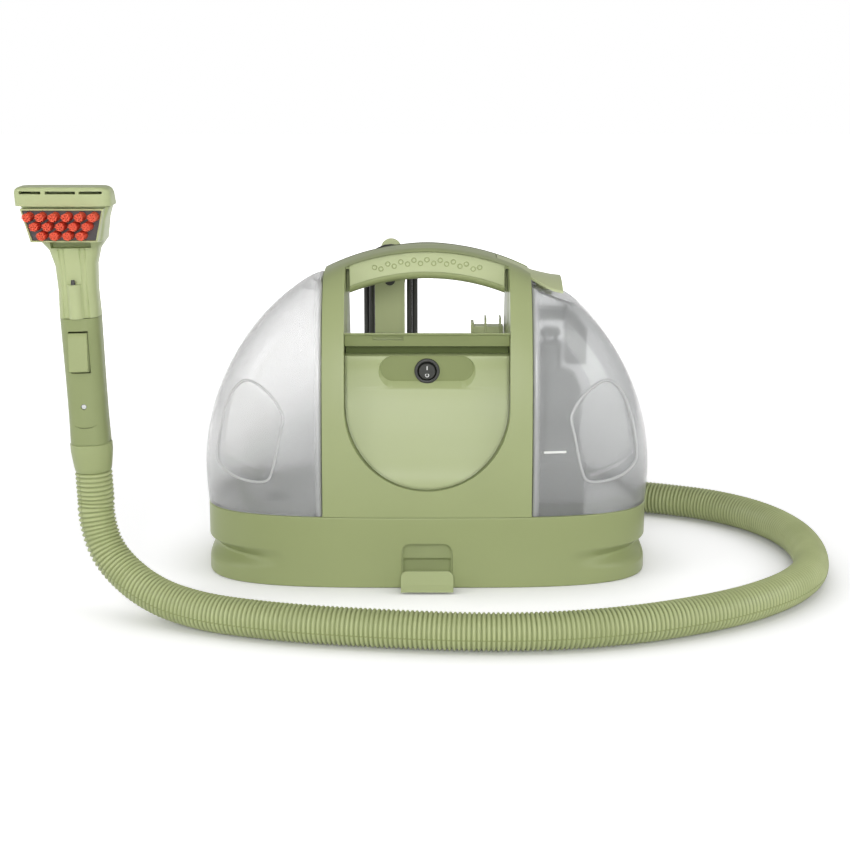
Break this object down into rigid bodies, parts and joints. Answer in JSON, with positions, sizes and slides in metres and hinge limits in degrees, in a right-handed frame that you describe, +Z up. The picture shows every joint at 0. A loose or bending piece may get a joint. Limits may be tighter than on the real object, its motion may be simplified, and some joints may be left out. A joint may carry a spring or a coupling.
{
  "type": "portable spot extractor",
  "caption": "Domed carpet spot cleaner with clear and smoked water tanks, arched handle, round rocker switch, rear cord wrap and a ribbed hose to a red-bristled spray tool.",
  "frame": {"origin": "middle of the base's underside, on the floor", "axes": "+Z up, +X to the dirty-water tank end, -Y the front with the switch panel"},
  "size_m": [0.7522, 0.4893, 0.3959],
  "materials": {
    "sage_plastic": "satin",
    "hose_plastic": "satin",
    "clear_tank": "clear gloss",
    "smoked_tank": "smoked gloss",
    "black_plastic": "satin",
    "cord_rubber": "matte",
    "red_bristle": "matte",
    "grey_plastic": "satin",
    "steel": "bright"
  },
  "bodies": {
    "machine": {"base_tub": "sage_plastic", "bottom_plate": "sage_plastic", "hose_clip": "sage_plastic", "front_housing": "sage_plastic", "rear_housing": "sage_plastic", "face_panel": "sage_plastic", "top_deck": "sage_plastic", "handle_grip_front": "sage_plastic", "handle_grip_rear": "sage_plastic", "cord_post": "sage_plastic", "cord_hook_lower": "sage_plastic", "tool_cradle": "sage_plastic", "hose_outlet": "sage_plastic", "hose_rear_cuff": "sage_plastic", "hose_tool_cuff": "sage_plastic", "grip_front": "sage_plastic", "grip_rear": "sage_plastic", "suction_hose": "hose_plastic", "pump_feed_tube": "clear_tank", "pump_spray_tube": "clear_tank", "switch_bezel": "black_plastic", "cord_gland": "black_plastic", "mains_plug": "black_plastic", "fan_housing": "black_plastic", "solution_pump": "black_plastic", "power_cord": "cord_rubber", "valve_seat": "grey_plastic", "intake_pipe": "grey_plastic", "hook_screw": "steel", "grip_screw": "steel", "trigger_pin": "steel", "motor_can": "steel"},
    "power_rocker": {"power_rocker": "black_plastic"},
    "spray_trigger": {"spray_trigger": "sage_plastic"},
    "brush_tool": {"tool_body": "sage_plastic", "spray_nozzle": "black_plastic", "brush_plate": "black_plastic", "brush_bristles": "red_bristle"},
    "clean_tank": {"clean_tank": "clear_tank", "clean_tank_cap": "grey_plastic"},
    "tank_valve": {"tank_valve": "grey_plastic"},
    "dirty_tank": {"dirty_tank": "smoked_tank", "latch_mount": "sage_plastic", "latch_pin": "steel", "separator_stack": "grey_plastic", "separator_cap": "grey_plastic", "outlet_duct": "grey_plastic"},
    "tank_latch": {"tank_latch": "sage_plastic"},
    "tank_float": {"tank_float": "grey_plastic"},
    "cord_hook": {"cord_hook_upper": "sage_plastic"},
    "fan_rotor": {"fan_impeller": "grey_plastic", "motor_shaft": "steel"}
  },
  "joints": [
    {"name": "power_switch", "type": "hinge", "parent": "machine", "child": "power_rocker", "pos_m": [0, -0.064, 0.206], "axis": [1, 0, 0], "range_deg": [0, 12]},
    {"name": "spray_trigger_pull", "type": "hinge", "parent": "machine", "child": "spray_trigger", "pos_m": [-0.31088, -0.17228, 0.25851], "axis": [0.9983, -0.0436, 0.0384], "range_deg": [0, 6], "stiffness_Nm_per_rad": 0.8},
    {"name": "brush_tool_off", "type": "slide", "parent": "machine", "child": "brush_tool", "axis": [-0.0384, 0.0017, 0.9993], "range_m": [0, 0.05]},
    {"name": "clean_tank_lift", "type": "slide", "parent": "machine", "child": "clean_tank", "axis": [0, 0, 1], "range_m": [0, 0.12]},
    {"name": "tank_valve_press", "type": "slide", "parent": "clean_tank", "child": "tank_valve", "axis": [0, 0, 1], "range_m": [0, 0.004]},
    {"name": "dirty_tank_lift", "type": "slide", "parent": "machine", "child": "dirty_tank", "axis": [0, 0, 1], "range_m": [0, 0.12]},
    {"name": "tank_latch_pivot", "type": "hinge", "parent": "dirty_tank", "child": "tank_latch", "pos_m": [0.111, 0, 0.2846], "axis": [0, 1, 0], "range_deg": [0, 12]},
    {"name": "tank_float_rise", "type": "slide", "parent": "dirty_tank", "child": "tank_float", "axis": [0, 0, 1], "range_m": [0, 0.014]},
    {"name": "cord_hook_turn", "type": "hinge", "parent": "machine", "child": "cord_hook", "pos_m": [-0.0379, 0.1, 0.274], "axis": [0, 1, 0], "range_deg": [0, 180]},
    {"name": "fan_spin", "type": "hinge", "parent": "machine", "child": "fan_rotor", "pos_m": [0, -0.005, 0.1], "axis": [0, 0, 1], "continuous": true}
  ]
}
